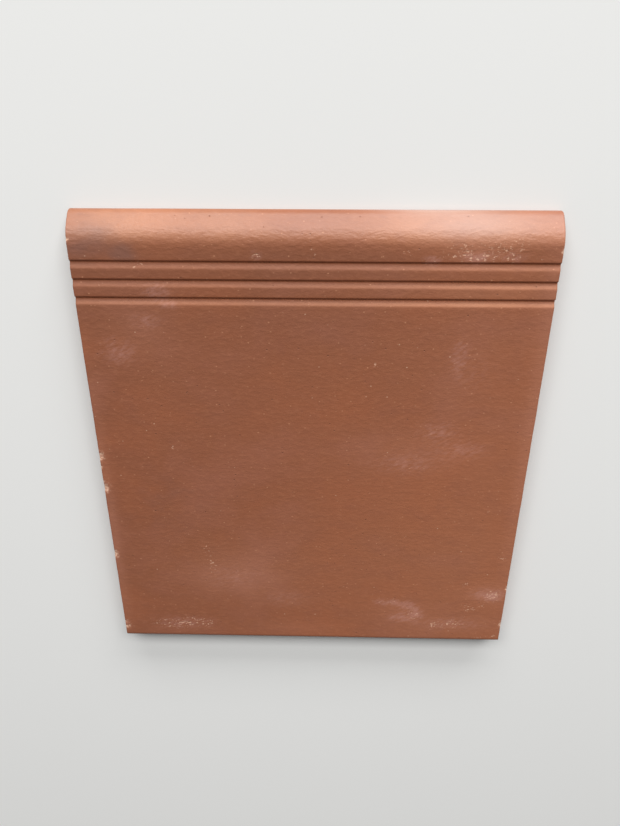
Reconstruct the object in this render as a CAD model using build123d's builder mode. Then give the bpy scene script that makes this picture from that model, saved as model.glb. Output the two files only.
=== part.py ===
from build123d import *
from math import cos, radians, sin
import os

# Stair tread tile of fired red clay, in millimetres.
# One section holds the rounded nose, the anti-slip grooves and the keyed back.
# It is extruded along the nose and cut to width, as the clay column is at the works.
# The tile lies on its keyed bed with the tread face up.
# X runs along the nose, Y from the foot edge to the nose, and Z up.
# The origin is on the floor, under the middle of the tile.

# The whole tile
tile_width = 300  # between the two wire-cut ends
tile_depth = 330  # from the foot edge to the front of the nose
tile_thickness = 15  # from the bed to the tread face

# The rounded nose
nose_run = 20  # from where the tread starts to roll down to the front
nose_slope = 38  # degrees under the tread, in the middle of the roll
nose_front_radius = 7  # turns the slope upright, into the front
nose_toe_radius = 1.2  # turns the front under, into the bed

# The anti-slip grooves: a steep wall towards the nose, a gentle one towards the field
groove_count = 3
groove_pitch = 11.3
groove_setback = 31.4  # from the front of the nose to the middle of the first groove
groove_mouth = 4.8
groove_floor = 1.0
groove_depth = 1.3
groove_steep_run = 0.7  # plan width of the steep wall
groove_arris_radius = 0.6  # where the steep wall leaves the tread
groove_floor_radius = 0.6
groove_lip_radius = 2.4  # where the gentle wall comes up to the tread

# The dovetail keys in the bed, which the mortar grips
key_depth = 1.8
key_mouth = 7.0
key_undercut = 0.5  # how far each side leans out, past the mouth
key_pitch = 17.0
key_nose_margin = 36.0  # plain bed kept under the nose
key_foot_margin = 15.0  # plain bed kept beside the foot edge
key_root_radius = 0.4  # in the corners at the root
key_mouth_radius = 0.6  # on the two edges of the mouth

# The edges
foot_arris_radius = 1.0  # along the foot edge, at the tread and at the bed
end_arris = 0.4  # bevel round the two wire-cut ends

# Lines that the section is drawn from
front = tile_depth / 2
foot = -tile_depth / 2
bed = 0
tread = tile_thickness
roll_start = front - nose_run
roll_drop = tile_thickness - nose_toe_radius

# The nose rolls over in an arc, runs down a short slope and turns upright in a tighter arc.
# What the front arc leaves of the run and the drop gives the radius of the first arc.
slope_sine = sin(radians(nose_slope))
slope_cosine = cos(radians(nose_slope))
upper_run = nose_run - nose_front_radius * (1 - slope_sine)
upper_drop = roll_drop - nose_front_radius * slope_cosine
roll_radius = (upper_run * slope_sine - upper_drop * slope_cosine) / (1 - slope_cosine)
roll_end = (roll_start + roll_radius * slope_sine, tread - roll_radius * (1 - slope_cosine))
slope_end = (roll_start + upper_run, tread - upper_drop)

# The keys share the bed between the two plain margins
keyed_bed_front = front - key_nose_margin
keyed_bed_back = foot + key_foot_margin
keyed_bed = keyed_bed_front - keyed_bed_back
key_count = int((keyed_bed - key_mouth) // key_pitch) + 1
first_key = (keyed_bed_front + keyed_bed_back - (key_count - 1) * key_pitch) / 2

with BuildPart() as tread_tile:
    with BuildSketch(Plane.YZ) as section:
        # Outline: bed, foot edge, tread face, then the nose from its roll to its toe
        with BuildLine():
            Polyline(
                (front - nose_toe_radius, bed),
                (foot, bed),
                (foot, tread),
                (roll_start, tread),
            )
            CenterArc(
                center=(roll_start, tread - roll_radius),
                radius=roll_radius,
                start_angle=90 - nose_slope,
                arc_size=nose_slope,
            )
            Line(roll_end, slope_end)
            CenterArc(
                center=(front - nose_front_radius, bed + nose_toe_radius),
                radius=nose_front_radius,
                start_angle=0,
                arc_size=90 - nose_slope,
            )
            CenterArc(
                center=(front - nose_toe_radius, bed + nose_toe_radius),
                radius=nose_toe_radius,
                start_angle=270,
                arc_size=90,
            )
        make_face()

        foot_corners = section.vertices().filter_by_position(Axis.X, foot, foot)
        fillet(foot_corners, foot_arris_radius)

        # Grooves, one behind the other from the nose
        for groove in range(groove_count):
            groove_middle = front - groove_setback - groove * groove_pitch
            nose_side = groove_middle + groove_mouth / 2
            field_side = groove_middle - groove_mouth / 2
            floor_height = tread - groove_depth
            floor_start = nose_side - groove_steep_run
            floor_end = floor_start - groove_floor
            with BuildLine():
                Polyline(
                    (nose_side, tread),
                    (floor_start, floor_height),
                    (floor_end, floor_height),
                    (field_side, tread),
                    close=True,
                )
            make_face(mode=Mode.SUBTRACT)
            corners = section.vertices()
            fillet(corners.sort_by_distance((nose_side, tread))[0], groove_arris_radius)
            corners = section.vertices()
            fillet(corners.sort_by_distance((floor_start, floor_height))[0], groove_floor_radius)
            corners = section.vertices()
            fillet(corners.sort_by_distance((floor_end, floor_height))[0], groove_floor_radius)
            corners = section.vertices()
            fillet(corners.sort_by_distance((field_side, tread))[0], groove_lip_radius)

        # Keys, evenly spaced over the bed
        for key in range(key_count):
            key_middle = first_key + key * key_pitch
            half_mouth = key_mouth / 2
            half_root = half_mouth + key_undercut
            with BuildLine():
                Polyline(
                    (key_middle - half_mouth, bed),
                    (key_middle - half_root, bed + key_depth),
                    (key_middle + half_root, bed + key_depth),
                    (key_middle + half_mouth, bed),
                    close=True,
                )
            make_face(mode=Mode.SUBTRACT)
        key_roots = section.vertices().filter_by_position(Axis.Y, bed + key_depth, bed + key_depth)
        fillet(key_roots, key_root_radius)
        bed_corners = section.vertices().filter_by_position(Axis.Y, bed, bed)
        key_mouths = bed_corners.filter_by_position(Axis.X, keyed_bed_back, keyed_bed_front)
        fillet(key_mouths, key_mouth_radius)

    extrude(amount=tile_width / 2, both=True)

    # The wire leaves sharp ends, which are rubbed down a little all round
    cut_ends = tread_tile.faces().filter_by(Axis.X)
    chamfer(cut_ends.edges(), end_arris)

tread_tile.part.label = "tread_tile"

os.makedirs("parts", exist_ok=True)
export_step(tread_tile.part, "parts/tread_tile.step")
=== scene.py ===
# %% [markdown]
# # A stair tread tile of unglazed red clay
# The object is one piece of fired clay: a flat body, a rounded nose along one edge, three
# grooves behind the nose that stop a foot from slipping, and a keyed back for the mortar.
# The scene could start from nothing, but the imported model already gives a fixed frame, in
# metres. So it is loaded first, and its box is kept, because nothing that is added later may
# stand outside it.

# %% Load the frame
import math

import bpy
import numpy as np
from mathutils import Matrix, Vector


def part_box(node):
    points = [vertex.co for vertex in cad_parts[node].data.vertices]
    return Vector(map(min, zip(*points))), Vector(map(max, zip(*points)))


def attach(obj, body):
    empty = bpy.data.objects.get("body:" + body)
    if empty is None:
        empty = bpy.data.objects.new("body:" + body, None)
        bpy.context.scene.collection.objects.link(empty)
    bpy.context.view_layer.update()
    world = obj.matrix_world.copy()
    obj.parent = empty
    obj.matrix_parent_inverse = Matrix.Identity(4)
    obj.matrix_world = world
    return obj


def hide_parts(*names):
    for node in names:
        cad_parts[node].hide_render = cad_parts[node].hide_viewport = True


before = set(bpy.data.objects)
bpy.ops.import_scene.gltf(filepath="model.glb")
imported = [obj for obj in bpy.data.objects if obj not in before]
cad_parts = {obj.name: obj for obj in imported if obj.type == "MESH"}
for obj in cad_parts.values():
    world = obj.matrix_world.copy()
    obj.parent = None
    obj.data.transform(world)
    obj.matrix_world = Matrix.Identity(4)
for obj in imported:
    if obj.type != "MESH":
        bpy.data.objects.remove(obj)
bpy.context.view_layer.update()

# %% [markdown]
# ## Sizes
# A tile maker works in millimetres. The sizes could be written in Blender's metres, but they
# are easier to check in the maker's unit, so they turn into metres only when a mesh is made.
# The outer sizes are read from the frame. The sizes of the nose, the grooves and the keys are
# the die's, as in the part's own drawing, but for the edges of the grooves and of the foot:
# wear and firing have rounded those more than the die.

# %% The tile's box
MM = 0.001
TILE = "tread_tile"
low, high = (np.array(corner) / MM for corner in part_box(TILE))
half_width = high[0]
foot, front = low[1], high[1]
bed, tread = low[2], high[2]
print("tile, mm:", np.round(high - low, 2))

# %% The die's sizes, in mm
nose_run = 20.0  # from where the tread starts to roll down to the front
nose_slope = 38.0  # of the short slope between the two arcs, in degrees under the tread
nose_front_radius = 7.0
nose_toe_radius = 1.2
roll_start = front - nose_run

groove_count = 3
groove_pitch = 11.3
groove_setback = 31.4  # from the front of the nose to the middle of the first groove
groove_mouth = 4.8
groove_floor = 1.0
groove_depth = 1.3
groove_steep_run = 0.7  # plan width of the steep wall, on the nose's side
groove_radii = (1.1, 0.6, 0.6, 3.6)  # arris, the two corners of the floor, lip

key_depth = 1.8
key_mouth = 7.0
key_undercut = 0.5  # how far each side leans out, past the mouth
key_pitch = 17.0
key_nose_margin = 36.0
key_foot_margin = 15.0
key_radii = (0.6, 0.4, 0.4, 0.6)  # mouth, the two corners of the root, mouth

foot_arris_radius = 2.2
end_arris = 0.4
print("nose, mm:", nose_run, "groove mouth:", groove_mouth, "key mouth:", key_mouth)

# %% [markdown]
# ## Camera
# The photograph was taken with a wide lens from above the nose, so the nose looks wider than
# the foot. A camera could be moved by eye until the picture looks the same. Here a fit of the
# tile's edges and grooves gave its place, turn and lens, because that is exact to a pixel. The
# tile lies on the floor, so the camera looks down on it, with the nose at the top.

# %% Camera
scene = bpy.context.scene
camera_place = (5.2, 209.2, 396.3)
camera_turn = (-24.55, 1.142, 0.157)
camera_lens = 27.07
nearest_seen = 0.01  # in metres

camera = bpy.data.objects.new("camera", bpy.data.cameras.new("camera"))
scene.collection.objects.link(camera)
camera.location = np.array(camera_place) * MM
camera.rotation_euler = [math.radians(angle) for angle in camera_turn]
camera.data.lens = camera_lens
camera.data.clip_start = nearest_seen
scene.camera = camera
print("camera, mm:", camera_place, "degrees:", camera_turn, "lens:", camera_lens)

# %% [markdown]
# ## Light
# On the photograph soft light comes from the nose's side, low over the tread. That is what
# makes the nose bright and the steep walls of the grooves dark. One sun lamp could do it, but
# its shadows are hard. So one softbox skims the tread from beyond the nose, and a second one,
# half way up, rounds the nose.

# %% Lights
def softbox(name, tilt, turn, distance, size, power):
    """A rectangle that faces the tile from distance metres away.

    tilt is its angle from straight overhead towards the nose, and turn its angle round the
    vertical towards the tile's right-hand end, both in degrees.
    """
    lamp = bpy.data.objects.new(name, bpy.data.lights.new(name, "AREA"))
    scene.collection.objects.link(lamp)
    lamp.data.shape = "RECTANGLE"
    lamp.data.size, lamp.data.size_y = size
    lamp.data.energy = power
    down, round_up = math.radians(tilt), math.radians(turn)
    lamp.location = (
        distance * math.sin(down) * math.sin(round_up),
        distance * math.sin(down) * math.cos(round_up),
        distance * math.cos(down),
    )
    lamp.rotation_euler = (-down, 0, -round_up)
    print(name, "at, m:", np.round(lamp.location, 2), "watts:", power)


softbox("low_softbox", tilt=75, turn=7, distance=5.0, size=(5.0, 1.2), power=224)
softbox("high_softbox", tilt=50, turn=0, distance=5.0, size=(7.0, 1.7), power=310)

# %% [markdown]
# ## Small helpers for shaders
# A finish is a picture of nodes, and nodes could be wired by hand in the editor. Written out,
# they need a few small functions. Colours are picked as sRGB hex values, as a screen shows
# them, while Blender's sockets take linear light, so the first one turns them. The second one
# adds a node of any kind with its settings and links, so that each finish stays short.

# %% Colour and node helpers
def linear(hex_colour):
    """sRGB hex to linear light: each part, from 0 to 1, goes through the sRGB curve."""
    parts = np.array([int(hex_colour[i : i + 2], 16) for i in (1, 3, 5)]) / 255
    light = np.where(parts <= 0.04045, parts / 12.92, ((parts + 0.055) / 1.055) ** 2.4)
    return (*light.tolist(), 1.0)


def add(tree, kind, inputs=None, **settings):
    """Adds a node: settings are its properties, and inputs gives each socket a value or a link."""
    node = tree.nodes.new(kind)
    for name, value in settings.items():
        setattr(node, name, value)
    for socket, value in (inputs or {}).items():
        if isinstance(value, bpy.types.NodeSocket):
            tree.links.new(value, node.inputs[socket])
        else:
            node.inputs[socket].default_value = value
    return node


def fresh_material(name):
    """A new material with only its output node, and that output."""
    material = bpy.data.materials.new(name)
    material.use_nodes = True
    material.node_tree.nodes.clear()
    return material, material.node_tree, material.node_tree.nodes.new("ShaderNodeOutputMaterial")


print("middle grey in linear light:", np.round(linear("#808080")[0], 3))

# %% [markdown]
# ## Room and floor
# A tile is sold by its colour, so nothing beside it may tint it. A picture of a room could
# light the tile and be seen behind it, but a plain world and a plain matt floor keep the eye
# on the clay and carry its shadow. What the camera and reflections see of both is paler than
# what lights the tile, and a Light Path node can tell these rays apart.

# %% Room
def seen_directly(tree):
    """1 for a ray from the camera, or one that comes by a reflection or through glass, else 0."""
    path = add(tree, "ShaderNodeLightPath")
    seen = path.outputs["Is Camera Ray"]
    for ray in ("Is Glossy Ray", "Is Transmission Ray"):
        seen = add(tree, "ShaderNodeMath", {0: seen, 1: path.outputs[ray]}, operation="MAXIMUM")
        seen = seen.outputs[0]
    return seen


room_lit, room_seen = 0.13, 0.45
world = bpy.data.worlds.new("studio")
scene.world = world
world.use_nodes = True
strength = add(world.node_tree, "ShaderNodeMapRange",
               {"Value": seen_directly(world.node_tree), "To Min": room_lit, "To Max": room_seen})
room = world.node_tree.nodes["Background"]
room.inputs["Color"].default_value = (1, 1, 1, 1)
world.node_tree.links.new(strength.outputs[0], room.inputs["Strength"])
print("room: lights the tile at", room_lit, "and is seen at", room_seen)

# %% Floor
floor_size = 12.0
floor_gap = 0.0001
floor_mesh = bpy.data.meshes.new("floor")
corners = np.array([(-1, -1), (1, -1), (1, 1), (-1, 1)]) * floor_size / 2
floor_mesh.from_pydata([(x, y, -floor_gap) for x, y in corners], [], [(0, 1, 2, 3)])
floor = bpy.data.objects.new("floor", floor_mesh)
scene.collection.objects.link(floor)

# Matt paint scatters light evenly, so the floor shows the tile's shadow and no reflection.
floor_paint, tree, output = fresh_material("pale_matt_floor_paint")
shade = add(tree, "ShaderNodeMix",
            {0: seen_directly(tree), 6: linear("#C8C8C6"), 7: linear("#E6E6E4")}, data_type="RGBA")
matt = add(tree, "ShaderNodeBsdfDiffuse", {"Color": shade.outputs[2]})
tree.links.new(matt.outputs[0], output.inputs["Surface"])
floor_mesh.materials.append(floor_paint)
print("floor:", floor_size, "m square,", floor_gap / MM, "mm under the tile")

# %% [markdown]
# ## The section
# The works push a clay column through a die, so the tile has one section all along its nose.
# It could be a box with bevels and cut grooves, but a box knows nothing of the die. One closed
# path in the YZ plane does: the nose, the tread with its grooves, the foot edge, and the bed
# with its keys. The nose rolls over in a wide arc, runs down a short slope and turns upright
# in a tighter arc. What the second arc leaves of the run and the drop gives the radius of the
# first. The rest is written as corners with a radius each, as a die is drawn, and rounded by
# one formula.

# %% Rounding and dividing a path
def softened(corners, radii, count):
    """Turns each inner corner of a path into an arc of count points.

    The sides leave a corner along unit vectors a and b. The arc touches them at radius over
    the tangent of half their angle, its centre is on their middle line at radius over the
    sine of that half, and its points swing evenly from one touching point to the other.
    """
    corners = np.asarray(corners, float)
    radius = np.asarray(radii, float)[:, None]
    corner = corners[1:-1]
    a = corners[:-2] - corner
    b = corners[2:] - corner
    a /= np.linalg.norm(a, axis=1, keepdims=True)
    b /= np.linalg.norm(b, axis=1, keepdims=True)
    half = np.arccos(np.clip((a * b).sum(1, keepdims=True), -1, 1)) / 2
    middle = (a + b) / np.linalg.norm(a + b, axis=1, keepdims=True)
    centre = corner + middle * radius / np.sin(half)
    start = corner + a * radius / np.tan(half) - centre
    end = corner + b * radius / np.tan(half) - centre
    swing = np.linspace(0, 1, count)[None, :, None]
    turn = (np.pi - 2 * half)[:, :, None]
    arms = np.sin((1 - swing) * turn) * start[:, None] + np.sin(swing * turn) * end[:, None]
    return (centre[:, None] + arms / np.sin(turn)).reshape(-1, 2)


def divided(path, spacing):
    """Adds points to a closed path, so that no step is longer than its own spacing.

    Each step is cut into equal parts: as many as its length over its spacing, rounded up.
    """
    step = np.roll(path, -1, axis=0) - path
    parts = np.ceil(np.linalg.norm(step, axis=1) / spacing).astype(int).clip(1)
    of_step = np.repeat(np.arange(len(path)), parts)
    number = np.arange(len(of_step)) - np.repeat(np.cumsum(parts) - parts, parts)
    return path[of_step] + step[of_step] * (number / parts[of_step])[:, None]


square = softened([(0, 0), (4, 0), (4, 4)], [1], 3)
print("a corner at (4, 0) with radius 1:", np.round(square, 2).tolist())

# %% The nose
nose_arc_points = 16
slope = math.radians(nose_slope)
nose_drop = tread - bed - nose_toe_radius
upper_run = nose_run - nose_front_radius * (1 - math.sin(slope))
upper_drop = nose_drop - nose_front_radius * math.cos(slope)
roll_radius = (upper_run * math.sin(slope) - upper_drop * math.cos(slope)) / (1 - math.cos(slope))


def arc(centre_y, centre_z, radius, first, last):
    """Points of a circle from one angle to another, in radians."""
    angle = np.linspace(first, last, nose_arc_points)
    return np.stack([centre_y + radius * np.cos(angle), centre_z + radius * np.sin(angle)], axis=1)


upright = math.pi / 2
nose = np.concatenate(
    [
        arc(front - nose_front_radius, bed + nose_toe_radius, nose_front_radius, 0, upright - slope),
        arc(roll_start, tread - roll_radius, roll_radius, upright - slope, upright),
    ]
)
print("first arc of the nose, mm:", round(roll_radius, 1))

# %% The tread side, with its grooves
tread_arc_points = 4
steep_foot = groove_mouth / 2 - groove_steep_run
groove_shape = [
    (groove_mouth / 2, 0),
    (steep_foot, -groove_depth),
    (steep_foot - groove_floor, -groove_depth),
    (-groove_mouth / 2, 0),
]
groove_middles = front - groove_setback - groove_pitch * np.arange(groove_count)
grooves = np.concatenate([np.array(groove_shape) + (middle, tread) for middle in groove_middles])
foot_corners = [(foot, tread), (foot, bed)]
tread_side = np.concatenate([[(front, tread)], grooves, foot_corners, [(front, bed)]])
tread_radii = groove_radii * groove_count + (foot_arris_radius,) * 2
tread_side = softened(tread_side, tread_radii, tread_arc_points)
print("grooves at, mm:", np.round(groove_middles, 1).tolist())

# %% The bed side, with its keys, and the whole section
bed_arc_points = 2
keyed_length = (front - key_nose_margin) - (foot + key_foot_margin)
key_count = int((keyed_length - key_mouth) // key_pitch) + 1
keyed_middle = (front - key_nose_margin + foot + key_foot_margin) / 2
key_middles = keyed_middle + key_pitch * (np.arange(key_count) - (key_count - 1) / 2)
key_shape = [
    (-key_mouth / 2, 0),
    (-key_mouth / 2 - key_undercut, key_depth),
    (key_mouth / 2 + key_undercut, key_depth),
    (key_mouth / 2, 0),
]
keys = np.concatenate([np.array(key_shape) + (middle, bed) for middle in key_middles])
bed_side = np.concatenate([[(foot, bed)], keys, [(front, bed), (front, tread)]])
bed_side = softened(bed_side, key_radii * key_count + (nose_toe_radius,), bed_arc_points)

section = np.concatenate([nose, tread_side, bed_side])
print("corner path:", len(section), "points, with", key_count, "keys")

# %% [markdown]
# Wear needs points to move. The whole path could be divided finely, but nobody looks for wear
# under the bed, so the path gets many points on the tread and few below. Each point also gets
# its outward direction, which wear follows inwards, and its place along the section.

# %% Divide the section, and find its outward direction
tread_spacing = 1.5
bed_spacing = 4.5
shortest_step = 0.02
least_upward = 0.1  # the upright part of a unit vector that counts as pointing up
height_slack = 0.1
below_grooves = tread - groove_depth - height_slack

on_tread = (section[:, 1] > below_grooves) | (section[:, 0] > roll_start)
section = divided(section, np.where(on_tread, tread_spacing, bed_spacing))
keep = np.linalg.norm(np.roll(section, -1, axis=0) - section, axis=1) > shortest_step
section = section[keep]
tangent = np.roll(section, -1, axis=0) - np.roll(section, 1, axis=0)
tangent /= np.linalg.norm(tangent, axis=1, keepdims=True)
outward = np.stack([tangent[:, 1], -tangent[:, 0]], axis=1)
along = np.concatenate([[0], np.cumsum(np.linalg.norm(np.diff(section, axis=0), axis=1))])
up_facing = outward[:, 1] > least_upward
print("section:", len(section), "points,", round(along[-1], 1), "mm round")

# %% [markdown]
# ## Stations along the nose
# On the real tile the section runs on unchanged until the wire cuts it. Blender could extrude
# it in one step, but then there would be no points between the ends. So the section is carried
# along X from station to station. Where the wire cut the column the edge is worn and chipped,
# so the stations crowd together at both ends and spread out over the field.

# %% Stations
first_step = 0.09
step_growth = 1.22
widest_step = 2.1
most_steps = 400  # more than half the width needs
steps = np.minimum(widest_step, first_step * step_growth ** np.arange(most_steps))
from_end = np.concatenate([[0], np.cumsum(steps)])
from_end = from_end[from_end < half_width]
from_end *= half_width / from_end[-1]
stations = np.concatenate([from_end - half_width, (half_width - from_end[:-1])[::-1]])
print("stations:", len(stations), "so quads:", (len(stations) - 1) * len(section))

# %% [markdown]
# ## Wear and waviness
# Nothing about a fired clay tile is quite straight. The clay drags through the die in long
# shallow furrows, the body dips a little in the kiln, the ends are rubbed, and knocks take
# chips out of the arris. This could be sculpted by hand, but then it could not be repeated.
# Here it is one array of depths over stations and section points, made of smooth random
# heights from fixed seeds. All of it takes clay away, so the tile stays inside its box.

# %% Smooth random heights
lattice_size = 256


def soft_noise(u, v, seed):
    """Random values from 0 to 1 at whole (u, v), eased between neighbours with 3t^2 - 2t^3."""
    lattice = np.random.default_rng(seed).random((lattice_size + 1, lattice_size + 1))
    column, row = np.floor(u).astype(int), np.floor(v).astype(int)
    s, t = u - column, v - row
    s, t = s * s * (3 - 2 * s), t * t * (3 - 2 * t)
    column, row = column % lattice_size, row % lattice_size
    near = lattice[column, row] * (1 - s) + lattice[column + 1, row] * s
    far = lattice[column, row + 1] * (1 - s) + lattice[column + 1, row + 1] * s
    return near * (1 - t) + far * t


sample = soft_noise(np.linspace(0, 20, 400), np.zeros(400), 1)
print("random heights go from", np.round(sample.min(), 2), "to", np.round(sample.max(), 2))

# %% Sway, furrows and rubbed ends, in mm of clay that is gone
x = stations[:, None]
y = section[None, :, 0]
s = along[None, :]
reach = half_width - np.abs(x)
side = np.sign(x)


def waves(length, width, start, seed):
    """Smooth heights, with waves about length mm along the nose and width mm across it."""
    return soft_noise(x / length + start[0], s / width + start[1], seed)


sway_depth, long_furrow_depth, short_furrow_depth = 0.10, 0.05, 0.03
sway = sway_depth * waves(length=70, width=55, start=(9, 3), seed=1)
long_furrows = long_furrow_depth * waves(length=42, width=2.6, start=(20, 0), seed=2)
short_furrows = short_furrow_depth * waves(length=13, width=1.7, start=(20, 0), seed=3)

# The rubbing turns the bevel of the cut ends into a quarter circle of uneven radius.
least_rubbed, most_rubbed = 0.7 * end_arris, 2.0 * end_arris
rubbed_length = 9
unevenness = soft_noise(s / rubbed_length + 0 * x, side + 5, 4)
arris = least_rubbed + (most_rubbed - least_rubbed) * unevenness
arris_gap = np.clip(arris - reach, 0, None)
rounding = arris - np.sqrt(np.clip(arris**2 - arris_gap**2, 0, None))
print("rubbed ends: radius up to", round(float(arris.max()), 2), "mm")

# %% Chips on the two cut ends
# Each row: end (-1 left, 1 right), place along Y, half length, reach from the end, bite, in mm
chips = np.array([
    (-1, 148.5, 1.4, 1.4, 0.4),
    (-1, -0.2, 3.2, 3.2, 0.5),
    (-1, -9.0, 1.0, 1.6, 0.3),
    (-1, -25.6, 4.0, 3.6, 0.6),
    (-1, -84.0, 3.4, 2.6, 0.6),
    (-1, -151.0, 1.6, 3.0, 0.4),
    (-1, -155.6, 1.5, 4.2, 0.35),
    (1, 143.4, 1.5, 1.2, 0.4),
    (1, -112.0, 2.4, 1.2, 0.3),
    (1, -148.0, 2.6, 1.6, 0.3),
])
hollow_power = 0.7  # under 1, so that a chip's walls are steeper than a dish's

least_ragged, ragged_range = 0.65, 0.7
ragged = least_ragged + ragged_range * waves(length=1.3, width=1.6, start=(40, 0), seed=5)
bite = np.zeros_like(ragged)
for end, place, half_length, chip_reach, chip_bite in chips:
    inside = 1 - ((y - place) / half_length) ** 2 - (reach / chip_reach) ** 2
    hollow = np.clip(inside * ragged, 0, 1) ** hollow_power
    bite += np.where((side == end) & up_facing, chip_bite * hollow, 0)

depth = sway + long_furrows + short_furrows + rounding + bite
print("chips:", len(chips), "and deepest wear:", round(float(depth.max()), 2), "mm")

# %% [markdown]
# ## The mesh
# The fired tile is one closed skin. Modifiers could build it in steps, but whole arrays give
# every point its place at once: each section point goes to each station, less the wear along
# its outward direction. Quads join neighbours, and one flat face closes each cut end.

# %% The tile's mesh
places = np.stack(
    [
        np.broadcast_to(x, depth.shape),
        section[None, :, 0] - outward[None, :, 0] * depth,
        section[None, :, 1] - outward[None, :, 1] * depth,
    ],
    axis=2,
)
places[:, :, 2] = np.clip(places[:, :, 2], bed, tread)

rows, points = depth.shape
index = np.arange(rows * points).reshape(rows, points)
after = np.roll(index, -1, axis=1)
quads = np.stack([index[:-1], after[:-1], after[1:], index[1:]], axis=2).reshape(-1, 4)
cut_ends = [index[0, ::-1].tolist(), index[-1].tolist()]

mesh = bpy.data.meshes.new("fired_tile")
mesh.from_pydata((places.reshape(-1, 3) * MM).tolist(), [], quads.tolist() + cut_ends)
smooth = np.ones(len(mesh.polygons), bool)
smooth[-len(cut_ends) :] = False
mesh.polygons.foreach_set("use_smooth", smooth)
mesh.validate()
tile = bpy.data.objects.new("fired_tile", mesh)
scene.collection.objects.link(tile)
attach(tile, "root")
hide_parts(TILE)
triangles = sum(len(polygon.vertices) - 2 for polygon in mesh.polygons)
print("fired_tile:", len(mesh.vertices), "vertices,", triangles, "triangles")

# %% [markdown]
# ## Where the surface is marked
# Some of the spots also paint light: highlights on the nose and on the lips of the grooves, and shade
# in the grooves and along the foot.
# A tile is marked before anyone treads on it: pale scuffs where tiles were stacked nose to
# nose, thin dust that was wiped into strokes, soot from the kiln, and fresh clay in the chips.
# The marks could be painted on a picture that is wrapped round the tile. Numbers on the mesh
# need no picture: each kind of mark is a sum of soft round spots, and the shader breaks the
# spots up with fine noise. A number belongs to a corner of a face, so that marks stop at the
# cut ends.

# %% Spots as numbers
# Each row of a mark: x, y, radius along x, radius along y, in mm, then strength
mark_rows = {}
all_along = 900  # a radius so long that the spot is a stripe from end to end


def spots(rows_of_mark):
    """Sum of soft ellipses: strength times exp(-(dx / rx)^2 - (dy / ry)^2), on the upper side."""
    total = np.zeros(depth.shape)
    for place_x, place_y, radius_x, radius_y, strength in rows_of_mark:
        total += strength * np.exp(-(((x - place_x) / radius_x) ** 2) - ((y - place_y) / radius_y) ** 2)
    return np.where(up_facing, total, 0)


def in_grooves(beyond_middle, radius, strength):
    """A stripe in each groove, beyond_middle mm from its middle towards the nose."""
    return [(0, middle + beyond_middle, all_along, radius, strength) for middle in groove_middles]


print("stripes in the grooves:", len(in_grooves(beyond_middle=0, radius=1, strength=1)))

# %% Scuffs: broken skin, most of it behind the nose and at the foot
mark_rows["scuff"] = [
    (98, 138.5, 4.5, 2.6, 0.9),
    (92, 139.5, 3.0, 2.4, 0.65),
    (104, 138.5, 3.0, 2.4, 0.75),
    (109, 139.5, 2.5, 2.4, 0.7),
    (82, 139.6, 4.0, 2.0, 0.5),
    (70, 136.0, 3.0, 1.6, 0.75),
    (120, 139.5, 4.0, 3.0, 0.75),
    (118, 146, 10, 5, 0.35),
    (90, 146, 14, 4, 0.25),
    (137, 137.6, 1.6, 1.0, 0.5),
    (57, 141.0, 2.4, 1.4, 0.5),
    (-35, 138.9, 1.6, 1.6, 0.9),
    (-1, 140.6, 1.6, 3.0, 0.85),
    (-110, 131.6, 1.5, 1.3, 0.9),
    (-107, 134.2, 1.4, 1.3, 0.7),
    (-133, 121.1, 1.4, 1.2, 0.7),
    (-119, -151, 8, 3.5, 0.5),
    (-100, -149.5, 8, 3.5, 0.8),
    (-87, -150.5, 7, 3.5, 0.75),
    (-108, -155, 7, 3.0, 0.5),
    (-79, -80, 3, 7, 0.45),
    (-76, -94, 3, 7, 0.45),
    (97, -149.5, 3, 2.5, 0.8),
    (110, -147.5, 8, 3.5, 0.8),
    (122, -131, 6, 3.0, 0.5),
    (140, -119, 6, 4.0, 1.0),
    (142, -84, 3, 2.0, 0.7),
    (118, -108, 2, 3.0, 0.7),
    (143, -159.6, 3.0, 1.2, 0.7),
    (132, -161.0, 3.0, 1.2, 0.6),
    (134, -129.6, 3.0, 2.0, 0.6),
    (58, -126, 10, 3, 0.4),
    (80, -138, 5, 5, 0.5),
    (-97, 8, 1.6, 1.6, 0.7),
    (40, 70, 1.8, 1.2, 0.6),
]
print("scuffs:", len(mark_rows["scuff"]))

# %% Dust, and the haze that wiping leaves round it
mark_rows["dust"] = [
    (98, 138.5, 9, 3.5, 0.7),
    (120, 139.5, 8, 4, 0.4),
    (72, 137, 5, 3, 0.6),
    (-35, 139, 4, 4, 0.3),
    (-98, 117, 9, 5, 0.5),
    (-91, 109, 6, 3, 0.5),
    (-106, 98, 10, 5, 0.35),
    (-127, 77, 12, 10, 0.4),
    (94, 76, 5, 12, 0.4),
    (106, 66, 16, 20, 0.15),
    (85, 22, 14, 8, 0.35),
    (66, -3, 26, 9, 0.3),
    (105, 8, 18, 7, 0.3),
    (-60, -104, 26, 14, 0.2),
    (-20, -125, 20, 8, 0.2),
    (58, -127, 10, 3, 0.6),
    (73, -130, 7, 4, 0.8),
    (82, -137, 5, 6, 0.8),
    (70, -142, 9, 4, 0.7),
    (136, -118, 12, 6, 0.5),
    (140, -120, 6, 4, 0.7),
    (-104, -151, 26, 7, 0.35),
    (110, -148, 30, 7, 0.3),
]
mark_rows["haze"] = [
    (98, 140.5, 14, 5, 0.6),
    (-110, 92, 22, 20, 0.3),
    (75, 5, 40, 14, 0.3),
    (100, 60, 26, 30, 0.12),
    (-60, -104, 34, 18, 0.5),
    (-20, -125, 20, 8, 0.25),
    (70, -135, 20, 11, 0.35),
    (136, -117, 16, 9, 0.5),
    (110, -148, 34, 8, 0.35),
    (-15, -155, 35, 8, 0.25),
    (148, 20, 6, 120, 0.5),
    (-148, -60, 5, 110, 0.5),
]
print("dust:", len(mark_rows["dust"]), "spots, haze:", len(mark_rows["haze"]))
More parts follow.
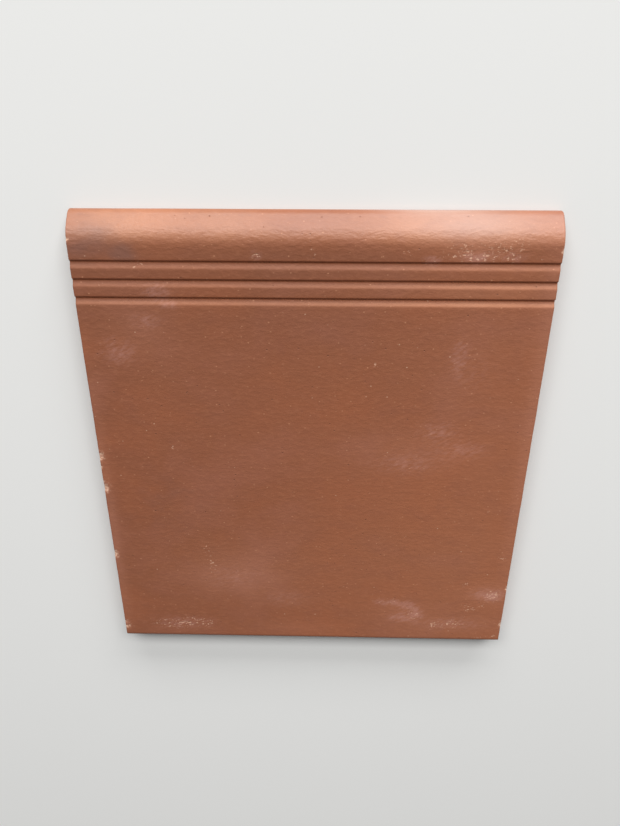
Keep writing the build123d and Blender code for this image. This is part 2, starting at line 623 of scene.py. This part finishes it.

# %% Chalk with a painted highlight, soot, and painted shade along the foot
# Whitish chalk on the right of the nose, which is also a painted highlight there.
mark_rows["chalk_and_highlight"] = [
    (72, 165.5, 30, 2.2, 1.0),
    (96, 158, 32, 9, 0.5),
]
mark_rows["soot"] = [
    (-134, 151, 15, 8, 0.9),
    (-116, 141, 7, 5, 1.0),
    (-142, 141, 8, 8, 0.5),
    (-104, -40, 30, 30, 0.2),
]
# A dark line along the foot edge: painted shade where the arris turns away from the light.
mark_rows["foot_edge_shade"] = [(0, foot + 0.4, all_along, 1.0, 0.8)]
print("chalk:", len(mark_rows["chalk_and_highlight"]), "spots, soot:", len(mark_rows["soot"]))

# %% Paler clay and painted highlights, browner clay and painted shade, and painted light on the steep walls
gentle_walls = groove_middles + (steep_foot - groove_floor - groove_mouth / 2) / 2
# Pale spots: partly paler, rubbed clay, partly painted highlight on the nose and on the lips of the
# grooves, and painted light that lifts the lower field.
mark_rows["pale_and_highlight"] = [
    (-115, 160, 45, 11, 0.85),
    (-50, 157, 26, 11, 0.35),
    (110, 157, 60, 11, 0.45),
    (58, 158, 24, 9, 0.4),
    (0, 160, 50, 11, 0.1),
    (0, 151, all_along, 3.5, 0.3),
    (110, -90, 80, 80, 0.12),
    (-50, -95, 70, 30, 0.1),
    (110, 117, 50, 4.5, 0.2),
    (130, gentle_walls[0], 60, 1.3, 0.2),
    (120, gentle_walls[1], 110, 1.3, 0.45),
    (130, gentle_walls[2], 120, 1.3, 0.5),
    (0, gentle_walls[2], all_along, 1.3, 0.2),
    *in_grooves(beyond_middle=-1.6, radius=1.2, strength=0.3),
]
# Brown spots: partly a browner clay, partly painted shade on the band behind the nose and on the floors
# of the grooves.
mark_rows["brown_and_shade"] = [
    (0, 128, all_along, 11, 0.4),
    (20, 138, 100, 6, 0.5),
    (-25, 130, 75, 22, 0.55),
    (-140, 118, 40, 25, 0.25),
    (-20, 98, 120, 16, 0.35),
    (30, 65, 110, 35, 0.3),
    (138, 142, 22, 6, 0.35),
    *in_grooves(beyond_middle=0.2, radius=1.0, strength=0.6),
]
# A lighter red on the steep walls of the grooves: painted light that lifts their shade.
mark_rows["steep_wall_fill_light"] = in_grooves(beyond_middle=1.8, radius=1.0, strength=1.0)
print("pale clay:", len(mark_rows["pale_and_highlight"]), "spots, brown clay:", len(mark_rows["brown_and_shade"]))

# %% The roll of the nose, and the chips
torn_length = 1.2  # in half lengths of the chip
mark_rows["roll"] = [(0, roll_start + 4, all_along, 5, 1.0)]
mark_rows["fresh"] = [(end * half_width, place, chip_reach, torn_length * half_length, 1.0)
                      for end, place, half_length, chip_reach, _ in chips]
print("chips with fresh clay:", len(mark_rows["fresh"]))

# %% Store the marks
least_downward = 0.5
down_facing = outward[:, 1] < -least_downward
deep_bite = 0.3  # mm, from where a chip adds the whole of its own strength
bitten_strength = 0.4
marks = {name: spots(rows_of_mark) for name, rows_of_mark in mark_rows.items()}
marks["fresh"] += bitten_strength * np.clip(bite / deep_bite, 0, 1)
marks["bed_side"] = np.broadcast_to(down_facing, depth.shape)

vertex_of_corner = np.empty(len(mesh.loops), np.int32)
mesh.loops.foreach_get("vertex_index", vertex_of_corner)
on_cut_end = np.arange(len(vertex_of_corner)) >= quads.size
numbers_of_corner = {
    name: np.where(on_cut_end, 0, numbers.ravel()[vertex_of_corner]) for name, numbers in marks.items()
}
numbers_of_corner["wire_cut"] = on_cut_end
for name, numbers in numbers_of_corner.items():
    layer = mesh.attributes.new(name, "FLOAT", "CORNER")
    layer.data.foreach_set("value", np.clip(numbers, 0, 1).astype(np.float32))
print("marks:", ", ".join(numbers_of_corner))

# %% [markdown]
# ## The clay's patterns
# Terracotta is red clay fired without a glaze. The kiln clouds its colour, the die wrinkles
# its skin along the nose, and grains of sand and lime stay in it. Photographs of clay could be
# wrapped round the tile, but they stretch and repeat. Noise has no seams, and each noise is
# given a real size in millimetres, longer along the nose where the die dragged the clay.

# %% Noise patterns at their real size
clay, tree, output = fresh_material("unglazed_extruded_terracotta")
where = add(tree, "ShaderNodeTexCoord").outputs["Object"]
patterns = {}

# Each row: size along x, y and z in mm, turn round the vertical in degrees, detail, roughness.
# The real grain is a few tenths of a millimetre. That is too fine to show here, so the grain
# and the lines of the wire are drawn as coarse as they need to be seen.
noises = {
    "cloud": ((60, 45, 45), 0, 3, 0.5),
    "blotch": ((16, 10, 10), 0, 4, 0.5),
    "wrinkle": ((4.4, 2.4, 2.4), 0, 2, 0.55),
    "grain": ((1.5, 1.0, 1.0), 0, 4, 0.7),
    "fine": ((1.7, 1.3, 1.3), 0, 2, 0.5),
    "coarse": ((1.8, 1.8, 1.8), 0, 3, 0.6),
    "stroke": ((5.0, 1.8, 1.8), 28, 4, 0.65),
    "wire": ((1.2, 1.2, 9.0), 0, 3, 0.5),
}
for name, (size, turn, detail, roughness) in noises.items():
    scaled = add(tree, "ShaderNodeMapping",
                 {"Vector": where, "Scale": [length * MM for length in size],
                  "Rotation": (0, 0, math.radians(turn))}, vector_type="TEXTURE")
    noise = add(tree, "ShaderNodeTexNoise", {"Vector": scaled.outputs[0], "Scale": 1.0,
                                             "Detail": detail, "Roughness": roughness})
    patterns[name] = noise.outputs["Fac"]
print("noises:", ", ".join(noises))

# %% [markdown]
# Pores, grit and lime specks are dots. They could be thousands of small meshes, but at this
# size the eye sees only their colour. A cell pattern has a point in each cell, which becomes a
# dot, and the cell's own random colour picks which cells have one.

# %% Dots in a cell pattern
# Each row: cell size in mm, edge and middle of the dot in cells, colour that begins to be picked
# and that is picked in full
dots = {
    "pore": ((6.0, 4.5, 4.5), (0.12, 0.05), (0.66, 0.70)),
    "grit": ((4.6, 3.4, 3.4), (0.16, 0.03), (0.35, 0.85)),
    "speck": ((9.0, 7.0, 7.0), (0.07, 0.03), (0.54, 0.64)),
}
for name, (size, (edge, middle), (begins, picked)) in dots.items():
    scaled = add(tree, "ShaderNodeMapping",
                 {"Vector": where, "Scale": [length * MM for length in size]}, vector_type="TEXTURE")
    cells = add(tree, "ShaderNodeTexVoronoi", {"Vector": scaled.outputs[0], "Scale": 1.0})
    chosen = add(tree, "ShaderNodeMapRange",
                 {"Value": cells.outputs["Color"], "From Min": begins, "From Max": picked})
    dot = add(tree, "ShaderNodeMapRange",
              {"Value": cells.outputs["Distance"], "From Min": edge, "From Max": middle,
               "To Max": chosen.outputs[0]})
    patterns[name] = dot.outputs[0]
print("dots:", ", ".join(dots))

# %% [markdown]
# The marks from the mesh have soft edges, which real dust and scuffs have not. They could be
# drawn finer, but noise does it cheaper: where a noise and a share of the mark add up to
# enough, the mark shows, and nowhere outside its spots. Two more are only a noise that its
# mark lets through: the lines that the cutting wire dragged on the two cut ends, and the
# creases where the nose starts to roll and the die pulled the skin harder.

# %% Marks, plain and broken up
for name in numbers_of_corner:
    patterns[name] = add(tree, "ShaderNodeAttribute", attribute_name=name).outputs["Fac"]

mark_ends, mark_holds = 0.03, 0.3
# Each row: mark, noise, share of the mark that is added, sum where it starts and where it is full
broken = {
    "film": ("dust", "stroke", 0.4, 0.5, 1.0),
    "smudge": ("soot", "blotch", 0.6, 0.5, 1.0),
    "flecks": ("scuff", "fine", 0.12, 0.62, 0.74),
    "torn": ("fresh", "coarse", 0.16, 0.56, 0.76),
    "creased": ("roll", "wrinkle", 0.0, 0.3, 0.7),
    "drag": ("wire_cut", "wire", 0.0, 0.0, 1.0),
}
for name, (mark, noise, share, start, full) in broken.items():
    total = add(tree, "ShaderNodeMath", {0: patterns[mark], 1: share, 2: patterns[noise]},
                operation="MULTIPLY_ADD")
    inside = add(tree, "ShaderNodeMapRange",
                 {"Value": patterns[mark], "From Min": mark_ends, "From Max": mark_holds})
    shown = add(tree, "ShaderNodeMapRange",
                {"Value": total.outputs[0], "From Min": start, "From Max": full,
                 "To Max": inside.outputs[0]})
    patterns[name] = shown.outputs[0]
print("broken marks:", ", ".join(broken))

# %% [markdown]
# ## The clay's colour
# A kiln gives no two spots the same red. One colour would look like plastic, and a ramp of
# colours mixes all causes into one. So the colour is built like coats of thin paint, from the
# fired body up to the dust that lies on it. Each coat covers what is below by its pattern.
# Some coats also paint light and shade into the colour.

# %% Coats of colour, the lowest first
axes = add(tree, "ShaderNodeSeparateXYZ", {0: where})
patterns["lit_towards_right"] = axes.outputs["X"]
body_shaded_at_left = "#854D32"

# Each row: colour, pattern, its value where the coat begins and where it is full, cover when full
coats = [
    # The left end is darker and browner: partly a browner clay, partly painted shade, as if less light
    # fell there. Over it lie clouds of orange and of a duller red.
    ("#96593B", "lit_towards_right", low[0] * MM, high[0] * MM, 1.0),
    ("#985736", "cloud", 0.5, 0.7, 0.45),
    ("#965D48", "cloud", 0.5, 0.3, 0.5),
    # Paler clay, which is also painted highlight on the nose and the groove lips, and painted light low
    # on the field.
    ("#CC906C", "pale_and_highlight", 0, 1, 0.5),
    # Browner clay, which is also painted shade behind the nose and in the grooves.
    ("#6A3A20", "brown_and_shade", 0, 1, 0.5),
    ("#864F38", "blotch", 0.5, 0.8, 0.4),
    # A lighter red on the steep walls of the grooves is painted light: it lifts the shade on walls that
    # face away from the lamps.
    ("#CE764A", "steep_wall_fill_light", 0, 1, 0.45),
    # Wrinkles and grain are paler on top and darker in their hollows: painted highlight and painted
    # shade over their relief.
    ("#B57858", "wrinkle", 0.52, 0.85, 0.2),
    ("#784833", "wrinkle", 0.46, 0.2, 0.15),
    ("#BC8060", "grain", 0.58, 0.85, 0.28),
    ("#74442F", "grain", 0.42, 0.2, 0.2),
    # Open pores are dark, and sand and lime are pale.
    ("#5C3424", "pore", 0, 1, 0.5),
    ("#C88E6C", "grit", 0, 1, 0.7),
    ("#DDB497", "speck", 0, 1, 0.6),
    # Dust, chalk from other tiles with a painted highlight on the right of the nose, and soot lie on
    # top; the dark line along the foot is painted shade.
    ("#D0937C", "haze", 0, 1, 0.25),
    ("#D2C2BA", "chalk_and_highlight", 0, 1, 0.35),
    ("#D8A49C", "film", 0, 1, 0.3),
    ("#6E4F47", "smudge", 0, 1, 0.45),
    ("#4A2A1E", "foot_edge_shade", 0, 1, 0.5),
    # Scuffs and chips have broken the skin, down to paler clay.
    ("#E2B498", "flecks", 0, 1, 0.7),
    ("#BE8A74", "fresh", 0.1, 1, 0.5),
    ("#E6BCA0", "torn", 0, 1, 0.85),
    # The bed lay on the kiln shelf and stayed dull.
    ("#7F5140", "bed_side", 0, 1, 0.5),
]
colour = linear(body_shaded_at_left)
for hex_colour, name, begins, full, cover in coats:
    amount = add(tree, "ShaderNodeMapRange",
                 {"Value": patterns[name], "From Min": begins, "From Max": full, "To Max": cover})
    coat = add(tree, "ShaderNodeMix", {0: amount.outputs[0], 6: colour, 7: linear(hex_colour)},
               data_type="RGBA")
    colour = coat.outputs[2]
print("coats of colour:", len(coats))

# %% [markdown]
# ## The clay's relief and sheen
# A finger feels the wrinkles, the grain and the pores, all a tenth of a millimetre or so. That
# could be displaced geometry, but it would take millions of faces. A bump turns the same
# heights into shading. Unglazed clay is rough, so it has no mirror image, only a broad pale
# sheen under a low light. Stacking and handling have rubbed the nose smoother than the tread.

# %% Relief and surface
# Each row: height in mm where the pattern is 1, up or down
heights = {
    "blotch": 0.12,
    "wrinkle": 0.17,
    "grain": 0.11,
    "pore": -0.15,
    "flecks": -0.08,
    "torn": -0.08,
    "creased": 0.06,
    "drag": 0.3,
}
relief = 0.0
for name, height in heights.items():
    layer = add(tree, "ShaderNodeMath", {0: patterns[name], 1: height, 2: relief},
                operation="MULTIPLY_ADD")
    relief = layer.outputs[0]
bump = add(tree, "ShaderNodeBump", {"Height": relief, "Distance": MM, "Strength": 1.0})

clay_ior = 1.5
tread_roughness, nose_roughness = 0.66, 0.44
rubbing_begins, rubbing_is_full = roll_start - 8, roll_start + 4
rubbed = add(tree, "ShaderNodeMapRange",
             {"Value": axes.outputs["Y"], "From Min": rubbing_begins * MM,
              "From Max": rubbing_is_full * MM, "To Min": tread_roughness, "To Max": nose_roughness})
surface = add(tree, "ShaderNodeBsdfPrincipled",
              {"Base Color": colour, "Roughness": rubbed.outputs[0], "IOR": clay_ior,
               "Normal": bump.outputs[0]})
tree.links.new(surface.outputs[0], output.inputs["Surface"])
mesh.materials.append(clay)
print("clay:", len(tree.nodes), "nodes and", len(tree.links), "links")

# %% [markdown]
# ## Render settings
# The picture could be graded until it looks like the photograph, but then no colour would show
# as it is written. So the view is Standard.

# %% Finish
scene.view_settings.view_transform = "Standard"
